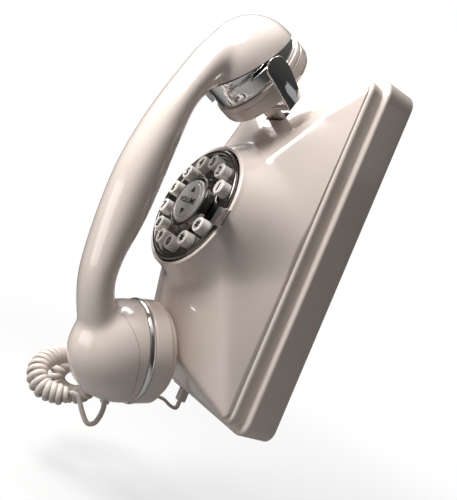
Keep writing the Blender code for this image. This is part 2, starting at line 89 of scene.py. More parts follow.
def tintBy(nodes, links, shader, noise, low, high):
    ramp = nodes.new("ShaderNodeValToRGB")
    ramp.color_ramp.elements[0].position = 0.3
    ramp.color_ramp.elements[0].color = (*low, 1)
    ramp.color_ramp.elements[1].position = 0.7
    ramp.color_ramp.elements[1].color = (*high, 1)
    links.new(noise.outputs["Fac"], ramp.inputs["Fac"])
    links.new(ramp.outputs["Color"], shader.inputs["Base Color"])


def roughenBy(nodes, links, shader, noise, low, high):
    span = nodes.new("ShaderNodeMapRange")
    span.inputs["To Min"].default_value = low
    span.inputs["To Max"].default_value = high
    links.new(noise.outputs["Fac"], span.inputs["Value"])
    links.new(span.outputs["Result"], shader.inputs["Roughness"])


def bumpBy(nodes, links, shader, noise, height):
    bump = nodes.new("ShaderNodeBump")
    bump.inputs["Distance"].default_value = height
    bump.inputs["Strength"].default_value = 1.0
    links.new(noise.outputs["Fac"], bump.inputs["Height"])
    links.new(bump.outputs["Normal"], shader.inputs["Normal"])


def ivoryPlastic():
    # polished moulding: faint colour drift, a soft ripple from the mould and fine handling haze
    material, nodes, links, shader = newMaterial("ivoryPlastic", (0.82, 0.71, 0.645), 0.16, coat=0.8)
    shader.inputs["IOR"].default_value = 1.5
    tintBy(nodes, links, shader, objectNoise(nodes, links, 14), (0.81, 0.70, 0.635), (0.835, 0.727, 0.663))
    roughenBy(nodes, links, shader, objectNoise(nodes, links, 160, 5), 0.12, 0.2)
    bumpBy(nodes, links, shader, objectNoise(nodes, links, 420, 2), 0.00001)
    return material


def keyPlastic():
    material, nodes, links, shader = newMaterial("keyPlastic", (0.90, 0.85, 0.79), 0.2, coat=0.4)
    tintBy(nodes, links, shader, objectNoise(nodes, links, 90), (0.88, 0.83, 0.77), (0.92, 0.87, 0.815))
    roughenBy(nodes, links, shader, objectNoise(nodes, links, 500, 4), 0.2, 0.32)
    return material


def chromePlate():
    # bright plating with faint wipe marks
    material, nodes, links, shader = newMaterial("chromePlate", (0.86, 0.855, 0.85), 0.05, metallic=1.0)
    tintBy(nodes, links, shader, objectNoise(nodes, links, 40), (0.84, 0.835, 0.83), (0.89, 0.885, 0.88))
    roughenBy(nodes, links, shader, objectNoise(nodes, links, 220, 6, (1, 1, 0.2)), 0.03, 0.09)
    return material


def chromeWithPaintedShade():
    # plating under the keys with painted shade: its colour is darkened to stand in for the dark reflections
    # of its shaded surroundings; wiped clean
    material, nodes, links, shader = newMaterial("chromeWithPaintedShade", (0.2, 0.19, 0.18), 0.05, metallic=1.0)
    tintBy(nodes, links, shader, objectNoise(nodes, links, 60), (0.17, 0.16, 0.15), (0.23, 0.22, 0.21))
    roughenBy(nodes, links, shader, objectNoise(nodes, links, 260, 5), 0.03, 0.09)
    return material


def satinSilver():
    material, nodes, links, shader = newMaterial("satinSilver", (0.70, 0.67, 0.64), 0.32, metallic=0.35)
    tintBy(nodes, links, shader, objectNoise(nodes, links, 900, 2), (0.67, 0.64, 0.61), (0.74, 0.71, 0.68))
    roughenBy(nodes, links, shader, objectNoise(nodes, links, 1500, 2), 0.28, 0.4)
    return material


def printedInkAndHoleShade():
    # black ink for the printed marks, also used as the painted shade inside the sound holes
    material, nodes, links, shader = newMaterial("printedInkAndHoleShade", (0.012, 0.011, 0.011), 0.35)
    roughenBy(nodes, links, shader, objectNoise(nodes, links, 2500, 2), 0.3, 0.45)
    return material


def cordJacket():
    # extruded jacket with fine lengthwise drawing marks, dustier in places
    material, nodes, links, shader = newMaterial("cordJacket", (0.74, 0.66, 0.60), 0.34, coat=0.1)
    tintBy(nodes, links, shader, objectNoise(nodes, links, 60), (0.70, 0.615, 0.555), (0.78, 0.70, 0.645))
    roughenBy(nodes, links, shader, objectNoise(nodes, links, 700, 4), 0.28, 0.42)
    bumpBy(nodes, links, shader, objectNoise(nodes, links, 1800, 2), 0.00002)
    return material


def blackMoulding():
    material, nodes, links, shader = newMaterial("blackMoulding", (0.018, 0.017, 0.017), 0.45)
    tintBy(nodes, links, shader, objectNoise(nodes, links, 70), (0.014, 0.013, 0.013), (0.028, 0.026, 0.026))
    roughenBy(nodes, links, shader, objectNoise(nodes, links, 600, 4), 0.38, 0.55)
    bumpBy(nodes, links, shader, objectNoise(nodes, links, 1400, 3), 0.00004)
    return material


def zincSteel():
    material, nodes, links, shader = newMaterial("zincSteel", (0.55, 0.55, 0.56), 0.35, metallic=1.0)
    tintBy(nodes, links, shader, objectNoise(nodes, links, 120), (0.5, 0.5, 0.5), (0.62, 0.61, 0.6))
    roughenBy(nodes, links, shader, objectNoise(nodes, links, 300, 4, (1, 6, 1)), 0.28, 0.45)
    return material


def seamShade():
    material, nodes, links, shader = newMaterial("seamShade", (0.36, 0.3, 0.26), 0.5)
    tintBy(nodes, links, shader, objectNoise(nodes, links, 300), (0.3, 0.25, 0.21), (0.42, 0.35, 0.3))
    return material


# mottled colour and grain for the hidden pieces
def moulded(name, colour, roughness):
    material, nodes, links, shader = newMaterial(name, colour, roughness)
    low = [c * 0.85 for c in colour]
    high = [min(1.0, c * 1.15) for c in colour]
    tintBy(nodes, links, shader, objectNoise(nodes, links, 200), low, high)
    bumpBy(nodes, links, shader, objectNoise(nodes, links, 1200, 3), 0.00004)
    return material


ivory = ivoryPlastic()
keyIvory = keyPlastic()
chrome = chromePlate()
chromeShadePainted = chromeWithPaintedShade()
silver = satinSilver()
inkAndHoleShade = printedInkAndHoleShade()
seam = seamShade()
jacket = cordJacket()
blackPlastic = blackMoulding()
steel = zincSteel()
slotFinish = {"ivory_plastic": ivory, "chrome": chrome, "silver_plastic": silver, "zinc_steel": steel,
              "black_plastic": blackPlastic, "grey_rubber": moulded("greyRubber", (0.12, 0.12, 0.12), 0.8),
              "circuit_board": moulded("circuitBoard", (0.03, 0.2, 0.08), 0.5), "ivory_cord": jacket}
for entry in frame["record"]["subparts"]:
    node = frame["nodes"][entry["node"]]
    node.data.materials.clear()
    node.data.materials.append(slotFinish[entry["material_slot"]])
print("materials made")


def addPiece(name, mesh, body, material, replaced=(), sharp=38):
    mesh.name = name
    piece = bpy.data.objects.new(name, mesh)
    bpy.context.scene.collection.objects.link(piece)
    mesh.materials.clear()
    mesh.materials.append(material)
    mesh.shade_smooth()
    mesh.set_sharp_from_angle(angle=math.radians(sharp))
    if body:
        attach(piece, body)
    if replaced:
        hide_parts(*replaced)
    return piece


def finishShape(shape, matrix=None):
    if matrix:
        bmesh.ops.transform(shape, matrix=matrix, verts=shape.verts)
    bmesh.ops.recalc_face_normals(shape, faces=shape.faces)
    mesh = bpy.data.meshes.new("shape")
    shape.to_mesh(mesh)
    shape.free()
    return mesh


# skin over rings of equal point counts, in millimetres
def skin(rings, closed=False, capped=True):
    shape = bmesh.new()
    rows = [[shape.verts.new(Vector(point) * mm) for point in ring] for ring in rings]
    pairs = list(zip(rows, rows[1:]))
    if closed:
        pairs.append((rows[-1], rows[0]))
    for near, far in pairs:
        for i in range(len(near)):
            j = (i + 1) % len(near)
            shape.faces.new((near[i], near[j], far[j], far[i]))
    if capped and not closed:
        shape.faces.new(list(reversed(rows[0])))
        shape.faces.new(rows[-1])
    return shape


# corners of an open profile replaced by arcs of the given radii
def rounded(points, radii, steps=5):
    path = [Vector(points[0])]
    for i in range(1, len(points) - 1):
        here = Vector(points[i])
        back = Vector(points[i - 1]) - here
        ahead = Vector(points[i + 1]) - here
        angle = back.angle(ahead)
        radius = radii[i - 1]
        if radius < 0.01 or angle > 3.1:
            path.append(here)
            continue
        reach = min(radius / math.tan(angle / 2), back.length * 0.49, ahead.length * 0.49)
        start = here + back.normalized() * reach
        end = here + ahead.normalized() * reach
        for k in range(steps + 1):
            t = k / steps
            path.append((1 - t) ** 2 * start + 2 * t * (1 - t) * here + t * t * end)
    path.append(Vector(points[-1]))
    return path


# profile of (radius, height) in millimetres turned about z; a zero radius closes to a pole
def turnedShape(profile, steps=96, closed=False):
    shape = bmesh.new()
    rows = []
    for radius, height in profile:
        if radius < 0.001:
            rows.append([shape.verts.new((0, 0, height * mm))])
            continue
        row = []
        for k in range(steps):
            turn = 2 * math.pi * k / steps
            row.append(shape.verts.new((radius * math.cos(turn) * mm, radius * math.sin(turn) * mm,
                                        height * mm)))
        rows.append(row)
    pairs = list(zip(rows, rows[1:]))
    if closed:
        pairs.append((rows[-1], rows[0]))
    for near, far in pairs:
        for i in range(steps):
            j = (i + 1) % steps
            corners = [near[i % len(near)], near[j % len(near)], far[j % len(far)], far[i % len(far)]]
            shape.faces.new(list(dict.fromkeys(corners)))
    return shape


def turned(name, profile, matrix, body, material, replaced=(), steps=96, closed=False):
    shape = turnedShape(profile, steps, closed)
    return addPiece(name, finishShape(shape, matrix), body, material, replaced)


def boxMesh(low, high, matrix=None, bevel=0.0, segments=3):
    shape = bmesh.new()
    bmesh.ops.create_cube(shape, size=1.0)
    size = [(high[i] - low[i]) * mm for i in range(3)]
    centre = [(high[i] + low[i]) / 2 * mm for i in range(3)]
    bmesh.ops.scale(shape, vec=size, verts=shape.verts)
    bmesh.ops.translate(shape, vec=centre, verts=shape.verts)
    if bevel:
        bmesh.ops.bevel(shape, geom=list(shape.edges), offset=bevel * mm, segments=segments, profile=0.5,
                        affect="EDGES")
    return finishShape(shape, matrix)


def scratch(mesh, name="scratch"):
    item = bpy.data.objects.new(name, mesh)
    bpy.context.scene.collection.objects.link(item)
    return item


# applies Booleans and returns the resulting mesh
def combined(base, tools, operation):
    item = scratch(base)
    helpers = [scratch(mesh, "tool") for mesh in tools]
    for helper in helpers:
        step = item.modifiers.new("step", "BOOLEAN")
        step.object = helper
        step.operation = operation
        step.solver = "EXACT"
    mesh = bakedMesh(item)
    for extra in [item, *helpers]:
        bpy.data.objects.remove(extra, do_unlink=True)
    return mesh


def bakedMesh(item):
    bpy.context.view_layer.update()
    return bpy.data.meshes.new_from_object(item.evaluated_get(bpy.context.evaluated_depsgraph_get()))


# smooth curve through the points, a Catmull-Rom spline
def smoothPath(points, perSpan):
    ends = [Vector(points[0]) * 2 - Vector(points[1])] + [Vector(p) for p in points]
    ends.append(Vector(points[-1]) * 2 - Vector(points[-2]))
    path = []
    for a, b, c, d in zip(ends, ends[1:], ends[2:], ends[3:]):
        for k in range(perSpan):
            t = k / perSpan
            path.append(0.5 * (2 * b + (c - a) * t + (2 * a - 5 * b + 4 * c - d) * t * t
                               + (3 * b - a - 3 * c + d) * t ** 3))
    path.append(Vector(points[-1]))
    return path


view = {"place": (315, -235, -18), "azimuth": 57.5, "elevation": -0.74, "roll": 23.1, "lens": 50.1,
        "sensor": 36}


def makeCamera():
    azimuth = math.radians(view["azimuth"])
    elevation = math.radians(view["elevation"])
    look = Vector((-math.sin(azimuth) * math.cos(elevation), math.cos(azimuth) * math.cos(elevation),
                   -math.sin(elevation)))
    level = look.cross(Vector((0, 0, 1))).normalized()
    rise = level.cross(look)
    roll = math.radians(view["roll"])
    right = math.cos(roll) * level + math.sin(roll) * rise
    up = math.cos(roll) * rise - math.sin(roll) * level
    turn = Matrix((right, up, -look)).transposed().to_4x4()
    data = bpy.data.cameras.new("studioCamera")
    data.lens = view["lens"]
    data.sensor_width = view["sensor"]
    data.sensor_fit = "HORIZONTAL"
    data.clip_start = 0.01
    camera = bpy.data.objects.new("studioCamera", data)
    bpy.context.scene.collection.objects.link(camera)
    camera.matrix_world = Matrix.Translation(Vector(view["place"]) * mm) @ turn
    bpy.context.scene.camera = camera


makeCamera()
print("camera placed")

cordFacts = {
    "width": 3.3, "thickness": 2.0, "sides": 12, "coilRadius": 4.95, "pitch": 3.45, "perTurn": 20,
    "endRadius": 0.35,   # share of the coil radius at its two ends
    "endPoints": 30,     # points over which it grows to the full radius
    "tailSpacing": 0.8,
    "spineSpan": 24, "tailSpan": 12, "joinSpan": 10,   # steps between two points of a route
    "tailTop": [(0.0, -70.0, -118.5), (0.0, -69.2, -122.4), (0.0, -69.5, -127.2), (-0.7, -70.7, -131.2),
                (-2.6, -73.6, -132.6), (-5.0, -76.8, -129.2), (-8.0, -79.4, -124.9),
                (-11.0, -81.2, -121.4), (-13.7, -82.6, -119.9)],
    "coil": [(-14.6, -83.9, -124.1), (-17.0, -90.0, -125.0), (-21.0, -98.0, -125.0),
             (-26.0, -102.0, -121.0), (-32.0, -101.0, -116.0), (-38.0, -95.0, -112.0),
             (-44.0, -87.0, -110.0), (-49.0, -77.5, -109.5), (-50.4, -68.0, -110.5),
             (-48.9, -60.1, -117.0), (-50.7, -57.2, -126.0), (-54.8, -59.9, -134.0),
             (-58.2, -67.2, -136.0), (-59.4, -74.7, -133.0), (-60.2, -77.8, -127.0),
             (-61.7, -74.5, -120.5), (-63.5, -66.2, -116.5), (-63.2, -54.6, -115.5),
             (-56.5, -42.2, -116.0), (-31.0, -35.0, -114.0)],
    "tailEnd": [(-29.8, -34.7, -113.7), (-25.5, -33.0, -113.2), (-21.5, -28.5, -113.2),
                (-20.0, -22.0, -114.2), (-20.0, -16.5, -116.8), (-20.0, -11.6, -117.4),
                (-20.0, -10.8, -112.0)]}


# points at equal steps along a polyline
def evenly(points, spacing):
    path = [points[0].copy()]
    left = spacing
    for a, b in zip(points, points[1:]):
        span = (b - a).length
        while left <= span:
            path.append(a.lerp(b, left / span))
            left += spacing
        left -= span
    return path


# a normal carried along a path without twisting
def carried(path, start):
    normals = []
    normal = Vector(start)
    for i, here in enumerate(path):
        along = (path[min(i + 1, len(path) - 1)] - path[max(i - 1, 0)]).normalized()
        normal = (normal - along * normal.dot(along)).normalized()
        normals.append((along, normal.copy()))
    return normals


# centreline of the helix and, at each point, the direction out from the coil's middle
def coilWire():
    step = cordFacts["pitch"] / cordFacts["perTurn"]
    spine = evenly(smoothPath(cordFacts["coil"], cordFacts["spineSpan"]), step)
    endRadius = cordFacts["endRadius"]
    endPoints = cordFacts["endPoints"]
    wire = []
    outward = []
    for k, (here, (along, normal)) in enumerate(zip(spine, carried(spine, (0, 0.15, 1)))):
        turn = 2 * math.pi * k / cordFacts["perTurn"]
        ease = min(1.0, (k + 2) / endPoints, (len(spine) - k + 1) / endPoints)
        out = normal * math.cos(turn) + along.cross(normal) * math.sin(turn)
        wire.append(here + out * cordFacts["coilRadius"] * (endRadius + (1 - endRadius) * ease))
        outward.append(out)
    return wire, outward


# the whole centreline, with the outward direction where the wire is coiled and None on the tails
def cordPath():
    wire, outward = coilWire()
    spacing = cordFacts["tailSpacing"]
    tailSpan = cordFacts["tailSpan"]
    joinSpan = cordFacts["joinSpan"]
    middle = slice(joinSpan, 2 * joinSpan)
    lead = evenly(smoothPath(cordFacts["tailTop"][:-1], tailSpan), spacing)
    tail = evenly(smoothPath(cordFacts["tailEnd"][1:], tailSpan), spacing)
    join = smoothPath([lead[-3], lead[-1], wire[0], wire[4]], joinSpan)[middle]
    leave = smoothPath([wire[-5], wire[-1], tail[0], tail[2]], joinSpan)[middle]
    path = lead[:-1] + join + wire[:-1] + leave + tail
    outs = [None] * (len(lead) - 1 + len(join)) + outward[:-1] + [None] * (len(leave) + len(tail))
    return path, outs


def makeCord():
    path, outs = cordPath()
    frames = carried(path, (1, 0, 0))
    rings = []
    for here, (along, normal), out in zip(path, frames, outs):
        flat = (out - along * out.dot(along)).normalized() if out else normal
        side = along.cross(flat)
        ring = []
        for k in range(cordFacts["sides"]):
            turn = 2 * math.pi * k / cordFacts["sides"]
            ring.append(here + flat * math.cos(turn) * cordFacts["thickness"] / 2
                        + side * math.sin(turn) * cordFacts["width"] / 2)
        rings.append(ring)
    cord = addPiece("handsetCord", finishShape(skin(rings)), None, jacket,
                    ("cord_coil", "cord_tail_handset", "cord_tail_housing"), sharp=70)
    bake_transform(cord)


makeCord()

coverFacts = {"halfWidth": 61.0, "halfHeight": 102.0, "skirt": 19.6, "panel": 28.0, "panelWidth": 55.0,
              "panelHeight": 96.0, "wall": 1.8, "collar": 38.2, "opening": 35.6,
              "corner": (9.0, 0.55),            # radius, how much of an inset comes off it
              "panelRim": 1.5,                  # the facets start this far outside the raised tier's edge
              "sideRise": (1.07, 0.0071),       # slope of the sides at mid height, change with height
              "sideReach": (-60.0, 70.0),       # heights between which that slope changes
              "flank": (74.5, 0.363, 0.2553),   # depth at the middle, fall to the side, rise with height
              "chin": (52.8, 0.22, -73.0),      # depth, slope, height where it has that depth
              "footSlope": 1.15, "browSlope": 0.417, "collarSlope": 2.3, "lipBack": 2.0,
              "blend": 2.8, "collarBlend": 9.0, "perSide": 18, "perCorner": 9, "steps": 44,
              # low and high corners of the openings: the hook's own lies along the ear axis
              "hookOpening": ((-9.5, -10.2, -46.0), (9.5, -3.4, -24.0)), "hookCorner": 1.2,
              "edgeOpenings": [((-26.5, -17.0, -104.0), (-13.5, -6.0, -97.0)),
                               ((12.0, -12.5, -104.0), (22.0, -8.5, -97.0)),
                               ((32.0, -12.5, -104.0), (42.0, -8.5, -97.0))]}


# the smaller of two numbers, with the change from one to the other rounded over r
def softMin(a, b, r):
    h = max(r - abs(a - b), 0.0) / r
    return min(a, b) - h * h * r / 4


# how far the moulded front stands out from the wall outside the dial collar
def frontHeight(x, z):
    panel = coverFacts["panel"]
    wide = coverFacts["panelWidth"] + coverFacts["panelRim"]
    high = coverFacts["panelHeight"] + coverFacts["panelRim"]
    dialY, dialZ, turn = axes["dial"]
    rise, change = coverFacts["sideRise"]
    lowest, highest = coverFacts["sideReach"]
    middle, fall, lift = coverFacts["flank"]
    chinDepth, chinSlope, chinHeight = coverFacts["chin"]
    height = panel + (rise - change * max(lowest, min(highest, z))) * (wide - abs(x))
    flank = middle - fall * abs(x) + lift * z
    chin = chinDepth + chinSlope * (z - chinHeight)
    foot = panel + coverFacts["footSlope"] * (z + high)
    brow = panel + coverFacts["browSlope"] * (high - z)
    for facet in (flank, chin, foot, brow):
        height = softMin(height, facet, coverFacts["blend"])
    lip = -dialY - math.tan(math.radians(90 - turn)) * (z - dialZ) - coverFacts["lipBack"]
    collar = lip - coverFacts["collarSlope"] * (math.hypot(x, z - dialZ) - coverFacts["collar"])
    height = -softMin(-height, -collar, coverFacts["collarBlend"])
    return max(panel, min(height, lip))


# rounded rectangle at an inset from the cover's outer edge
def coverOutline(inset):
    halfWidth = coverFacts["halfWidth"] - inset
    halfHeight = coverFacts["halfHeight"] - inset
    radius, share = coverFacts["corner"]
    corner = radius - inset * share
    perSide = coverFacts["perSide"]
    perCorner = coverFacts["perCorner"]
    quarter = [(halfWidth, (halfHeight - corner) * i / perSide) for i in range(perSide)]
    for i in range(perCorner):
        angle = math.pi / 2 * i / (perCorner - 1)
        quarter.append((halfWidth - corner + corner * math.cos(angle),
                        halfHeight - corner + corner * math.sin(angle)))
    quarter += [((halfWidth - corner) * (1 - i / perSide), halfHeight) for i in range(1, perSide)]
    upper = quarter + [(0.0, halfHeight)] + [(-x, z) for x, z in reversed(quarter[1:])]
    lower = [(-halfWidth, 0.0)] + [(-x, -z) for x, z in quarter[1:]] + [(0.0, -halfHeight)]
    return upper + lower + [(x, -z) for x, z in reversed(quarter[1:])]


# the skirt and the step up to the raised tier, then rings that blend into the collar, then its lip
def coverRings():
    skirt = coverFacts["skirt"]
    panel = coverFacts["panel"]
    section = rounded([(0.0, 0.4), (0.0, skirt), (3.9, skirt), (3.9, panel), (8.0, panel)],
                      [2.2, 0.5, 2.6], 6)
    rings = []
    for inset, depth in list(section)[:-1]:
        rings.append([(x, -depth, z) for x, z in coverOutline(inset)])
    edge = coverOutline(coverFacts["halfWidth"] - coverFacts["panelWidth"])
    dialY, dialZ, turn = axes["dial"]
    collar = coverFacts["collar"]
    slope = math.tan(math.radians(90 - turn))
    for k in range(coverFacts["steps"] + 1):
        share = 0.002 + 0.998 * k / coverFacts["steps"]
        ring = []
        for i, (x, z) in enumerate(edge):
            around = 2 * math.pi * i / len(edge)
            px = x + (collar * math.cos(around) - x) * share
            pz = z + (dialZ + collar * math.sin(around) - z) * share
            ring.append((px, -frontHeight(px, pz), pz))
        rings.append(ring)
    lip = rounded([(collar, coverFacts["lipBack"]), (collar - 0.4, 0.25), (coverFacts["opening"], 0.3),
                   (coverFacts["opening"], 1.2)], [1.2, 0.3], 4)
    for radius, depth in lip[1:]:
        ring = []
        for i in range(len(edge)):
            around = 2 * math.pi * i / len(edge)
            px = radius * math.cos(around)
            pz = dialZ + radius * math.sin(around)
            ring.append((px, dialY + slope * (pz - dialZ) + depth, pz))
        rings.append(ring)
    return rings


def makeCover():
    shell = scratch(finishShape(skin(coverRings(), capped=False)))
    wall = shell.modifiers.new("wall", "SOLIDIFY")
    wall.thickness = coverFacts["wall"] * mm
    wall.offset = -1.0
    mesh = bakedMesh(shell)
    bpy.data.objects.remove(shell, do_unlink=True)
    openings = [boxMesh(*coverFacts["hookOpening"], axisMatrix("ear"), coverFacts["hookCorner"])]
    openings += [boxMesh(low, high) for low, high in coverFacts["edgeOpenings"]]
    mesh = combined(mesh, openings, "DIFFERENCE")
    addPiece("coverShell", mesh, "housing", ivory, ("housing_cover",), sharp=40)


makeCover()
print("cover made")

dialFacts = {"keyRing": 25.5, "keyRadius": 4.6, "keyTop": 4.6, "first": 28.0, "step": 27.9,
             "wellRadius": 5.0, "volumeTop": 4.7, "arrowRadius": 2.6, "arrowPlace": 6.6,
             "labels": ["1", "2", "3", "4", "5", "6", "7", "8", "9", "0", "*", "#"],
             "nodes": ["1", "2", "3", "4", "5", "6", "7", "8", "9", "0", "star", "hash"],
             "letterSize": 6.6, "starSize": 10.5, "wordSize": 4.5,
             # depth of the ink, and how much bolder than the font
             "mark": (0.24, 0.18), "word": (0.12, 0.14),
             # low corner, high corner and edge radius of the finger stop's tab and leg
             "stopTab": ((31.2, -8.0, 2.0), (43.0, 2.0, 3.1), 0.35),
             "stopLeg": ((36.4, -6.5, 0.6), (39.2, 0.5, 2.6), 0.2)}


# lettering of a given height, centred on the place it is given
def textMesh(words, size, matrix, depth, bold):
    curve = bpy.data.curves.new("words", "FONT")
    curve.body = words
    curve.size = size * mm
    curve.extrude = depth * mm / 2
    curve.offset = bold * mm
    curve.align_x = "CENTER"
    curve.align_y = "CENTER"
    curve.resolution_u = 4
    item = scratch(curve)
    mesh = bakedMesh(item)
    bpy.data.objects.remove(item, do_unlink=True)
    low = [min(v.co[i] for v in mesh.vertices) for i in range(2)]
    high = [max(v.co[i] for v in mesh.vertices) for i in range(2)]
    centre = Matrix.Translation((-(low[0] + high[0]) / 2, -(low[1] + high[1]) / 2, 0))
    mesh.transform(matrix @ centre)
    return mesh


def makeDialPlate():
    dial = axisMatrix("dial")
    # rim, plate and hub ring take the chrome darkened with painted shade, which stands for the dark
    # surroundings they reflect
    turned("dialRim", rounded([(32.1, 0.3), (32.9, 1.3), (34.3, 1.4), (35.1, 0.5), (35.1, -3.4),
                               (32.1, -3.4), (32.1, 0.3)], [0.5, 0.7, 0.5, 0.2, 0.2])[:-1],
           dial, "housing", chromeShadePainted, ("dial_rim",), 160, closed=True)
    plate = finishShape(turnedShape(rounded(
        [(0, -0.9), (17.6, -0.9), (18.2, -0.75), (30.6, -0.75), (31.8, 0.1), (31.8, -3.0), (0, -3.0)],
        [0.1, 0.1, 0.3, 0.1, 0.1], 3), 160), dial)
    reach = dialFacts["wellRadius"]
    centres = [keyPlace(i) for i in range(len(dialFacts["labels"]))] + [(0.0, 0.0)]
    wells = []
    for x, y in centres:
        well = turnedShape([(0, 2.0), (reach, 2.0), (reach, -5.0), (0, -5.0)], 40)
        wells.append(finishShape(well, dial @ Matrix.Translation((x * mm, y * mm, 0))))
    addPiece("dialPlate", combined(plate, wells, "DIFFERENCE"), "housing", chromeShadePainted,
             ("dial_plate",), sharp=30)
    turned("hubRing", rounded([(14.2, 3.2), (14.6, 4.1), (15.6, 3.7), (17.2, 0.4), (17.5, -0.6),
                               (14.1, -0.6), (14.2, 3.2)], [0.3, 0.5, 1.5, 0.2, 0.2])[:-1],
           dial, "housing", chromeShadePainted, ("hub_ring",), 128, closed=True)


def keyPlace(i):
    turn = math.radians(dialFacts["first"] + dialFacts["step"] * i)
    return dialFacts["keyRing"] * math.cos(turn), dialFacts["keyRing"] * math.sin(turn)


def makeKeys():
    dial = axisMatrix("dial")
    radius = dialFacts["keyRadius"]
    top = dialFacts["keyTop"]
    profile = rounded([(0, top - 0.25), (radius * 0.6, top - 0.15), (radius - 0.25, top), (radius, -3.5),
                       (radius + 0.9, -3.5), (radius + 0.9, -4.4), (0, -4.4)],
                      [1.0, 0.8, 0.2, 0.2, 0.2], 5)
    for i, (label, node) in enumerate(zip(dialFacts["labels"], dialFacts["nodes"])):
        x, y = keyPlace(i)
        place = dial @ Matrix.Translation((x * mm, y * mm, 0))
        body = "key_" + node
        turned("key" + node.capitalize(), profile, place, body, keyIvory,
               ("button_" + node,), 48)
        size = dialFacts["starSize"] if label == "*" else dialFacts["letterSize"]
        spot = place @ Matrix.Translation((0, 0, (top - 0.13) * mm))
        addPiece("keyMark" + node.capitalize(), textMesh(label, size, spot, *dialFacts["mark"]), body, inkAndHoleShade)


def makeVolume():
    dial = axisMatrix("dial")
    top = dialFacts["volumeTop"]
    turned("volumeDisc", rounded([(0, top), (10.6, top), (10.9, 4.45), (11.4, 4.45), (11.7, 4.65),
                                  (12.9, 4.4), (13.4, 3.6), (13.4, 0.6), (3.4, 0.4), (3.4, -5.6),
                                  (0, -5.6)],
                                 [0.2, 0.15, 0.15, 0.2, 0.5, 0.5, 0.3, 0.2, 0.2], 3),
           dial, "volume", silver, ("volume_button",), 96)
    spot = dial @ Matrix.Translation((0, 0, top * mm))
    addPiece("volumeWord", textMesh("VOLUME", dialFacts["wordSize"], spot, *dialFacts["word"]), "volume",
             inkAndHoleShade)
    radius = dialFacts["arrowRadius"] * mm
    for side, name in ((1, "volumeUpArrow"), (-1, "volumeDownArrow")):
        shape = bmesh.new()
        bmesh.ops.create_cone(shape, cap_ends=True, segments=3, radius1=radius, radius2=radius,
                              depth=dialFacts["word"][0] * mm)
        turn = Matrix.Rotation(0.0 if side > 0 else math.pi, 4, "Z")
        centre = Matrix.Translation((0, side * dialFacts["arrowPlace"] * mm, 0))
        addPiece(name, finishShape(shape, spot @ centre @ turn), "volume", inkAndHoleShade)


def makeFingerStop():
    tab, leg = [boxMesh(low, high, axisMatrix("dial"), edge)
                for low, high, edge in (dialFacts["stopTab"], dialFacts["stopLeg"])]
    addPiece("fingerStop", combined(tab, [leg], "UNION"), "housing", chrome, ("finger_stop",))


makeDialPlate()
makeKeys()
makeVolume()
makeFingerStop()
print("dial made")

handsetFacts = {
    # radius and where the dome starts and ends on the axis
    "head": (28.0, 4.3, 32.2), "bulb": (28.6, 4.5, 33.8), "domeFoot": -6.0, "domePoints": 24,
    "voxel": 0.85, "smooth": 7, "neckSmooth": 90,
    "neck": (30.0, 60.0),      # heights between which the extra smoothing comes in
    "cut": (10.0, 0.232),      # slanted end of the ear bulb: height on the axis, slope towards the bottom
    "gap": 0.3, "handleSides": 64,
    # radius and depth of the hollows behind the caps, and the corners of the cord's slot
    "earHollow": (23.0, 19.0), "mouthHollow": (24.0, 14.0),
    "cordSlot": ((-3.7, -34, 4.4), (3.7, -15.0, 11.4)),
    "parting": {"width": 0.26, "route": [(-91.0, -62.5), (-84.0, -69.6), (-78.2, -77.4), (-74.9, -86.0),
                                         (-72.2, -95.2), (-68.8, -104.0)]},
    # y, z, half width, half depth
    "handle": [(-82.0, 92.5, 17.0, 12.0), (-90.4, 78.5, 16.4, 10.8), (-96.6, 64.0, 15.6, 9.2),
               (-101.0, 50.0, 15.6, 8.6), (-103.4, 31.0, 16.2, 10.6), (-104.8, 7.0, 16.9, 12.4),
               (-105.0, -18.0, 16.9, 12.0), (-105.4, -38.0, 16.4, 9.8), (-103.4, -55.0, 16.0, 9.0),
               (-96.5, -71.0, 15.6, 9.6), (-88.0, -84.0, 15.0, 10.0)]}


# elliptical rings along the handle
def handleRings():
    facts = handsetFacts["handle"]
    sides = handsetFacts["handleSides"]
    spots = smoothPath([(y, z, 0) for y, z, w, d in facts], 8)
    sizes = smoothPath([(w, d, 0) for y, z, w, d in facts], 8)
    rings = []
    for i, (spot, size) in enumerate(zip(spots, sizes)):
        ahead = spots[min(i + 1, len(spots) - 1)] - spots[max(i - 1, 0)]
        across = Vector((0, ahead.x, ahead.y)).normalized().cross(Vector((1, 0, 0)))
        ring = []
        for k in range(sides):
            turn = 2 * math.pi * k / sides
            ring.append(Vector((size.x * math.cos(turn), spot.x, spot.y)) + across * size.y * math.sin(turn))
        rings.append(ring)
    return rings


def domeProfile(radius, start, apex):
    count = handsetFacts["domePoints"]
    foot = handsetFacts["domeFoot"]
    points = []
    for i in range(count):
        angle = math.pi / 2 * (1 - i / (count - 1))
        points.append((radius * math.cos(angle), start + (apex - start) * math.sin(angle)))
    points[0] = (0.0, apex)
    return points + [(radius, foot), (0, foot)]


# bakes the fillets, with a wide one where the handle runs into the ear bulb
def softenNeck(item):
    soften = item.modifiers["soften"]
    soften.show_viewport = False
    item.data = bakedMesh(item)
    for step in [step for step in item.modifiers if step != soften]:
        item.modifiers.remove(step)
    neck = item.vertex_groups.new(name="neck")
    low, high = handsetFacts["neck"]
    for vertex in item.data.vertices:
        share = (vertex.co.z / mm - low) / (high - low)
        neck.add([vertex.index], min(1.0, max(0.0, share)), "REPLACE")
    soften.show_viewport = True
    return bakedMesh(item)


# slab whose face follows the slanted end of the ear bulb
def slantedSlab(offset, low, high):
    lean = math.atan(handsetFacts["cut"][1])
    matrix = axisMatrix("ear") @ Matrix.Translation((0, 0, offset * mm)) @ Matrix.Rotation(-lean, 4, "X")
    return boxMesh((-36, -36, low), (36, 36, high), matrix)


# cutter for the hollow behind a cap
def hollow(name, matrix):
    radius, depth = handsetFacts[name]
    return finishShape(turnedShape([(0, depth), (radius, depth), (radius, -12.0), (0, -12.0)], 96), matrix)


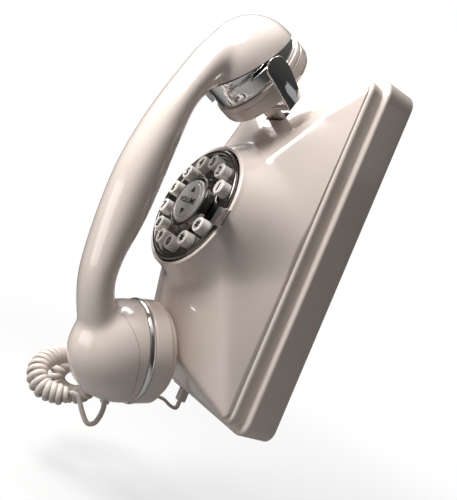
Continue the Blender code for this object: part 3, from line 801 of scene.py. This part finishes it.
def makeShell():
    ear = axisMatrix("ear")
    mouth = axisMatrix("mouth")
    head = finishShape(turnedShape(domeProfile(*handsetFacts["head"]), 128), ear)
    bulb = finishShape(turnedShape(domeProfile(*handsetFacts["bulb"]), 128), mouth)
    body = combined(finishShape(skin(handleRings())), [head, bulb], "UNION")
    item = scratch(body)
    mesher = item.modifiers.new("mesher", "REMESH")
    mesher.mode = "VOXEL"
    mesher.voxel_size = handsetFacts["voxel"] * mm
    relax = item.modifiers.new("relax", "SMOOTH")
    relax.factor = 0.5
    relax.iterations = handsetFacts["smooth"]
    soften = item.modifiers.new("soften", "SMOOTH")
    soften.factor = 0.5
    soften.iterations = handsetFacts["neckSmooth"]
    soften.vertex_group = "neck"
    body = softenNeck(item)
    bpy.data.objects.remove(item, do_unlink=True)
    gap = handsetFacts["gap"]
    cutters = [slantedSlab(handsetFacts["cut"][0] - gap / 2, -40, 0), hollow("earHollow", ear),
               boxMesh((-40, -40, -20), (40, 40, gap), mouth), hollow("mouthHollow", mouth),
               boxMesh(*handsetFacts["cordSlot"], mouth)]
    body = combined(body, cutters, "DIFFERENCE")
    addPiece("handsetShell", body, "handset", ivory, ("handset_shell",), sharp=45)


# fine line where the two halves of the mouth bulb's moulding meet, laid on both of its sides
def partingLine():
    facts = handsetFacts["parting"]
    surface = BVHTree.FromObject(bpy.data.objects["handsetShell"], bpy.context.evaluated_depsgraph_get())
    rings = []
    for side in (1, -1):
        path = []
        for spot in smoothPath([(0, y, z) for y, z in facts["route"]], 12):
            start = Vector((side * 60, spot.y, spot.z)) * mm
            hit = surface.ray_cast(start, Vector((-side, 0, 0)))[0]
            if hit:
                path.append(hit / mm)
        rings.append(path)
    shapes = [finishShape(skin(wireRings(path, facts["width"] / 2, 6))) for path in rings]
    addPiece("partingLine", combined(shapes[0], [shapes[1]], "UNION"), "handset", seam)


def wireRings(path, radius, sides):
    rings = []
    for here, (along, normal) in zip(path, carried(path, (0, 0.3, 1))):
        side = along.cross(normal)
        rings.append([here + (normal * math.cos(2 * math.pi * k / sides)
                              + side * math.sin(2 * math.pi * k / sides)) * radius for k in range(sides)])
    return rings


def makeEarEnd():
    ear = axisMatrix("ear")
    offset = handsetFacts["cut"][0] - 2 * handsetFacts["gap"]
    ring = finishShape(turnedShape(rounded([(26.2, 18.0), (26.8, 17.0), (26.8, 2.2), (26.4, 1.9), (26.4, 1.4),
                                            (26.9, 1.1), (26.9, 0.5), (24.0, 0.5), (24.0, 18.0)],
                                           [0.1, 0.1, 0.1, 0.1, 0.3, 0.2, 0.1], 3), 144, closed=True), ear)
    ring = combined(ring, [slantedSlab(offset, 0, 30)], "DIFFERENCE")
    addPiece("earCollar", ring, "handset", chrome, ("ear_ring",), sharp=30)
    turned("earCap", rounded([(0, -8.2), (25.4, -8.5), (25.4, 0.1), (28.3, 0.1), (28.5, -2.6), (28.1, -2.9),
                              (28.1, -3.2), (28.5, -3.5), (28.4, -8.4), (27.4, -10.8), (25.0, -11.6),
                              (23.4, -10.9), (12.0, -10.9), (0, -10.5)],
                             [0.1, 0.1, 0.7, 0.15, 0.1, 0.1, 0.15, 1.5, 1.5, 0.8, 0.8, 2.0], 4),
           ear, "handset", ivory, ("ear_cap",), 144)


def makeMouthEnd():
    mouth = axisMatrix("mouth")
    turned("mouthRing", rounded([(25.0, 0.0), (29.0, 0.0), (29.5, -1.6), (29.0, -3.2), (25.0, -3.2)],
                                [0.4, 1.6, 0.4], 5),
           mouth, "handset", chrome, ("mouth_ring",), 144, closed=True)
    turned("mouthCap", rounded([(0, -15.2), (22.4, -15.6), (22.4, -3.5), (28.9, -3.5), (29.0, -5.0),
                                (28.9, -12.6), (28.0, -13.6), (25.6, -13.8), (25.4, -16.8), (24.0, -18.2),
                                (21.0, -17.7), (12.0, -17.6), (0, -17.3)],
                               [0.1, 0.1, 0.7, 1.0, 0.9, 0.4, 0.3, 1.0, 0.8, 0.6, 2.0], 4),
           mouth, "handset", ivory, ("mouth_cap",), 144)


makeShell()
partingLine()
makeEarEnd()
makeMouthEnd()
print("handset made")

hookFacts = {"inner": 29.1, "outer": 31.1, "edge": 0.45,
             # each strip's inner and outer radius, its low and high edge, and the degrees it covers
             "prong": ((27.3, 29.5), (3.4, 11.0), (28, 60)), "elbow": ((28.9, 31.0), (3.4, 10.0), (56, 84)),
             # low corner, high corner and edge radius of the fork's base and of its stem
             "base": ((-31.1, -13.0, -16.3), (31.1, -2.6, -14.2), 0.5),
             "stem": ((-8.0, -9.2, -52.5), (8.0, -6.4, -15.0), 0.4),
             # along the ear axis, up
             "arm": [(-16.4, -2.4), (-16.2, -13.2), (3.4, -9.9), (9.2, -9.2), (11.6, -2.8), (8.2, 3.4),
                     (0.0, 2.6)],
             "armRounding": [0.8, 2.0, 4.0, 4.5, 4.5, 8.0, 0.8]}


def roundedLoop(points, radii, steps=6):
    count = len(points)
    loop = []
    for i in range(count):
        part = rounded([points[i - 1], points[i], points[(i + 1) % count]], [radii[i]], steps)
        loop += part[1:-1]
    return loop


# side arm with its hump, cut from thick strip
def armMesh(side):
    shape = bmesh.new()
    loop = roundedLoop(hookFacts["arm"], hookFacts["armRounding"])
    low = hookFacts["inner"] * side
    high = hookFacts["outer"] * side
    verts = [shape.verts.new((low * mm, up * mm, out * mm)) for out, up in loop]
    face = shape.faces.new(verts)
    made = bmesh.ops.extrude_face_region(shape, geom=[face])
    moved = [v for v in made["geom"] if isinstance(v, bmesh.types.BMVert)]
    bmesh.ops.translate(shape, verts=moved, vec=((high - low) * mm, 0, 0))
    rims = [e for e in shape.edges if abs(e.verts[0].co.x - e.verts[1].co.x) < 0.00001]
    bmesh.ops.bevel(shape, geom=rims, offset=hookFacts["edge"] * mm, segments=3, profile=0.5,
                    affect="EDGES")
    return finishShape(shape, axisMatrix("ear"))


# rounded strip bent round the ear axis; 0 degrees is straight down
def arcMesh(name, side, steps=40):
    (inner, outer), (low, high), (start, end) = hookFacts[name]
    corners = [(inner, low), (outer, low), (outer, high), (inner, high)]
    loop = roundedLoop(corners, [hookFacts["edge"]] * 4, 3)
    rings = []
    for k in range(steps + 1):
        turn = math.radians(side * (start + (end - start) * k / steps))
        rings.append([(r * math.sin(turn), -r * math.cos(turn), h) for r, h in loop])
    return finishShape(skin(rings), axisMatrix("ear"))


def makeHook():
    ear = axisMatrix("ear")
    pieces = [armMesh(-1)]
    for side in (1, -1):
        pieces.append(arcMesh("elbow", side))
        pieces.append(arcMesh("prong", side))
    for part in ("base", "stem"):
        low, high, edge = hookFacts[part]
        pieces.append(boxMesh(low, high, ear, edge))
    addPiece("hookFork", combined(armMesh(1), pieces, "UNION"), "hook", chrome, ("hook_yoke",),
             sharp=35)


makeHook()
print("hook made")

holeFacts = {"depth": 0.5, "radius": 0.75,
             # circle radius and count; the first three discs nearly coincide and show as the middle hole
             "rings": [(0.01, 3), (3.6, 6), (7.2, 12)],
             "ends": {"ear": -10.6, "mouth": -17.3}}   # height on each end's axis


# black discs set on a circle, painted shade standing in for the sound holes: count, circle radius, disc
# radius and depth are its inputs
def holeTree():
    tree = bpy.data.node_groups.new("soundHoles", "GeometryNodeTree")
    tree.interface.new_socket("Geometry", in_out="OUTPUT", socket_type="NodeSocketGeometry")
    inputs = {}
    for name, kind, value in (("Count", "NodeSocketInt", 6),
                              ("Circle Radius", "NodeSocketFloat", 0.003),
                              ("Hole Radius", "NodeSocketFloat", 0.0007),
                              ("Depth", "NodeSocketFloat", 0.0005)):
        socket = tree.interface.new_socket(name, in_out="INPUT", socket_type=kind)
        socket.default_value = value
        inputs[name] = socket.identifier
    start = tree.nodes.new("NodeGroupInput")
    circle = tree.nodes.new("GeometryNodeMeshCircle")
    disc = tree.nodes.new("GeometryNodeMeshCylinder")
    disc.inputs["Vertices"].default_value = 14
    spread = tree.nodes.new("GeometryNodeInstanceOnPoints")
    real = tree.nodes.new("GeometryNodeRealizeInstances")
    paint = tree.nodes.new("GeometryNodeSetMaterial")
    # the discs take the ink's black: the shade inside each hole painted on
    paint.inputs["Material"].default_value = inkAndHoleShade
    end = tree.nodes.new("NodeGroupOutput")
    link = tree.links.new
    link(start.outputs["Count"], circle.inputs["Vertices"])
    link(start.outputs["Circle Radius"], circle.inputs["Radius"])
    link(start.outputs["Hole Radius"], disc.inputs["Radius"])
    link(start.outputs["Depth"], disc.inputs["Depth"])
    link(circle.outputs["Mesh"], spread.inputs["Points"])
    link(disc.outputs["Mesh"], spread.inputs["Instance"])
    link(spread.outputs["Instances"], real.inputs["Geometry"])
    link(real.outputs["Geometry"], paint.inputs["Geometry"])
    link(paint.outputs["Geometry"], end.inputs["Geometry"])
    return tree, inputs


def makeHoles(name, tree, inputs, matrix, height):
    for k, (radius, count) in enumerate(holeFacts["rings"]):
        item = scratch(bpy.data.meshes.new("holes"))
        grower = item.modifiers.new("holes", "NODES")
        grower.node_group = tree
        grower[inputs["Count"]] = count
        grower[inputs["Circle Radius"]] = radius * mm
        grower[inputs["Hole Radius"]] = holeFacts["radius"] * mm
        grower[inputs["Depth"]] = holeFacts["depth"] * mm
        mesh = bakedMesh(item)
        bpy.data.objects.remove(item, do_unlink=True)
        mesh.transform(matrix @ Matrix.Translation((0, 0, height * mm)))
        addPiece("%s%d" % (name, k + 1), mesh, "handset", inkAndHoleShade)


soundHoles, holeInputs = holeTree()
for end, height in holeFacts["ends"].items():
    makeHoles(end + "Holes", soundHoles, holeInputs, axisMatrix(end), height)
print("sound holes made")

studio = {"floor": -0.17, "floorRadius": 0.6, "floorColour": (0.82, 0.815, 0.81), "floorShow": 0.32,
          # name, place, target, width and length, power
          "lights": [("key", (-0.10, -0.44, 0.44), (0, -0.06, 0.1), (0.3, 0.3), 2.3),
                     ("nearKey", (0.05, -0.38, 0.32), (0.0, -0.07, 0.09), (0.16, 0.16), 1.45),
                     ("topStrip", (-0.3, -0.1, 0.5), (0.0, -0.06, 0.1), (0.08, 0.5), 0.9),
                     ("lowFill", (-0.25, -0.8, -0.12), (0.0, -0.07, -0.08), (0.5, 0.3), 0.9),
                     ("sideCard", (0.6, 0.39, 0.25), (0.031, -0.06, 0.08), (0.14, 0.14), 0.02)],
          # direction that the surroundings are brightest in, and their strength across it
          "bright": (-0.25, -0.30, 0.92), "ambient": [(0.0, 0.07), (0.4, 0.03), (0.78, 0.1), (0.95, 1.1)]}


# pale round floor that thins out to the white background at its rim
def makeFloor():
    shape = bmesh.new()
    bmesh.ops.create_circle(shape, cap_ends=True, segments=96, radius=studio["floorRadius"])
    floor = scratch(finishShape(shape, Matrix.Translation((0, 0, studio["floor"]))), "floor")
    material, nodes, links, shader = newMaterial("paleFloor", studio["floorColour"], 0.7)
    place = nodes.new("ShaderNodeTexCoord")
    flat = nodes.new("ShaderNodeMapping")
    flat.inputs["Scale"].default_value = (1, 1, 0)
    reach = nodes.new("ShaderNodeVectorMath")
    reach.operation = "LENGTH"
    fade = nodes.new("ShaderNodeMapRange")
    fade.interpolation_type = "SMOOTHSTEP"
    fade.inputs["From Min"].default_value = studio["floorRadius"] * 0.2
    fade.inputs["From Max"].default_value = studio["floorRadius"]
    fade.inputs["To Min"].default_value = studio["floorShow"]
    fade.inputs["To Max"].default_value = 0.0
    links.new(place.outputs["Object"], flat.inputs["Vector"])
    links.new(flat.outputs["Vector"], reach.inputs[0])
    links.new(reach.outputs["Value"], fade.inputs["Value"])
    links.new(fade.outputs["Result"], shader.inputs["Alpha"])
    floor.data.materials.append(material)


def makeLights():
    for name, place, target, size, power in studio["lights"]:
        data = bpy.data.lights.new(name, "AREA")
        data.shape = "RECTANGLE"
        data.size, data.size_y = size
        data.energy = power
        lamp = bpy.data.objects.new(name, data)
        bpy.context.scene.collection.objects.link(lamp)
        lamp.location = place
        lamp.rotation_euler = (Vector(target) - Vector(place)).to_track_quat("-Z", "Y").to_euler()


# white behind the object; a dark room with one bright quarter for everything else
def makeWorld():
    world = bpy.data.worlds.new("studio")
    bpy.context.scene.world = world
    world.use_nodes = True
    nodes = world.node_tree.nodes
    links = world.node_tree.links
    shown = nodes["Background"]
    shown.inputs["Color"].default_value = (1, 1, 1, 1)
    place = nodes.new("ShaderNodeTexCoord")
    facing = nodes.new("ShaderNodeVectorMath")
    facing.operation = "DOT_PRODUCT"
    facing.inputs[1].default_value = studio["bright"]
    span = nodes.new("ShaderNodeMapRange")
    span.inputs["From Min"].default_value = -1.0
    ramp = nodes.new("ShaderNodeValToRGB")
    while len(ramp.color_ramp.elements) < len(studio["ambient"]):
        ramp.color_ramp.elements.new(0.5)
    for stop, (position, level) in zip(ramp.color_ramp.elements, studio["ambient"]):
        stop.position = position
        stop.color = (level, level * 0.98, level * 0.96, 1)
    around = nodes.new("ShaderNodeBackground")
    mix = nodes.new("ShaderNodeMixShader")
    ray = nodes.new("ShaderNodeLightPath")
    links.new(place.outputs["Generated"], facing.inputs[0])
    links.new(facing.outputs["Value"], span.inputs["Value"])
    links.new(span.outputs["Result"], ramp.inputs["Fac"])
    links.new(ramp.outputs["Color"], around.inputs["Color"])
    links.new(ray.outputs["Is Camera Ray"], mix.inputs["Fac"])
    links.new(around.outputs["Background"], mix.inputs[1])
    links.new(shown.outputs["Background"], mix.inputs[2])
    links.new(mix.outputs["Shader"], nodes["World Output"].inputs["Surface"])


makeFloor()
makeLights()
makeWorld()
bpy.context.scene.view_settings.view_transform = "Standard"
print("studio made")
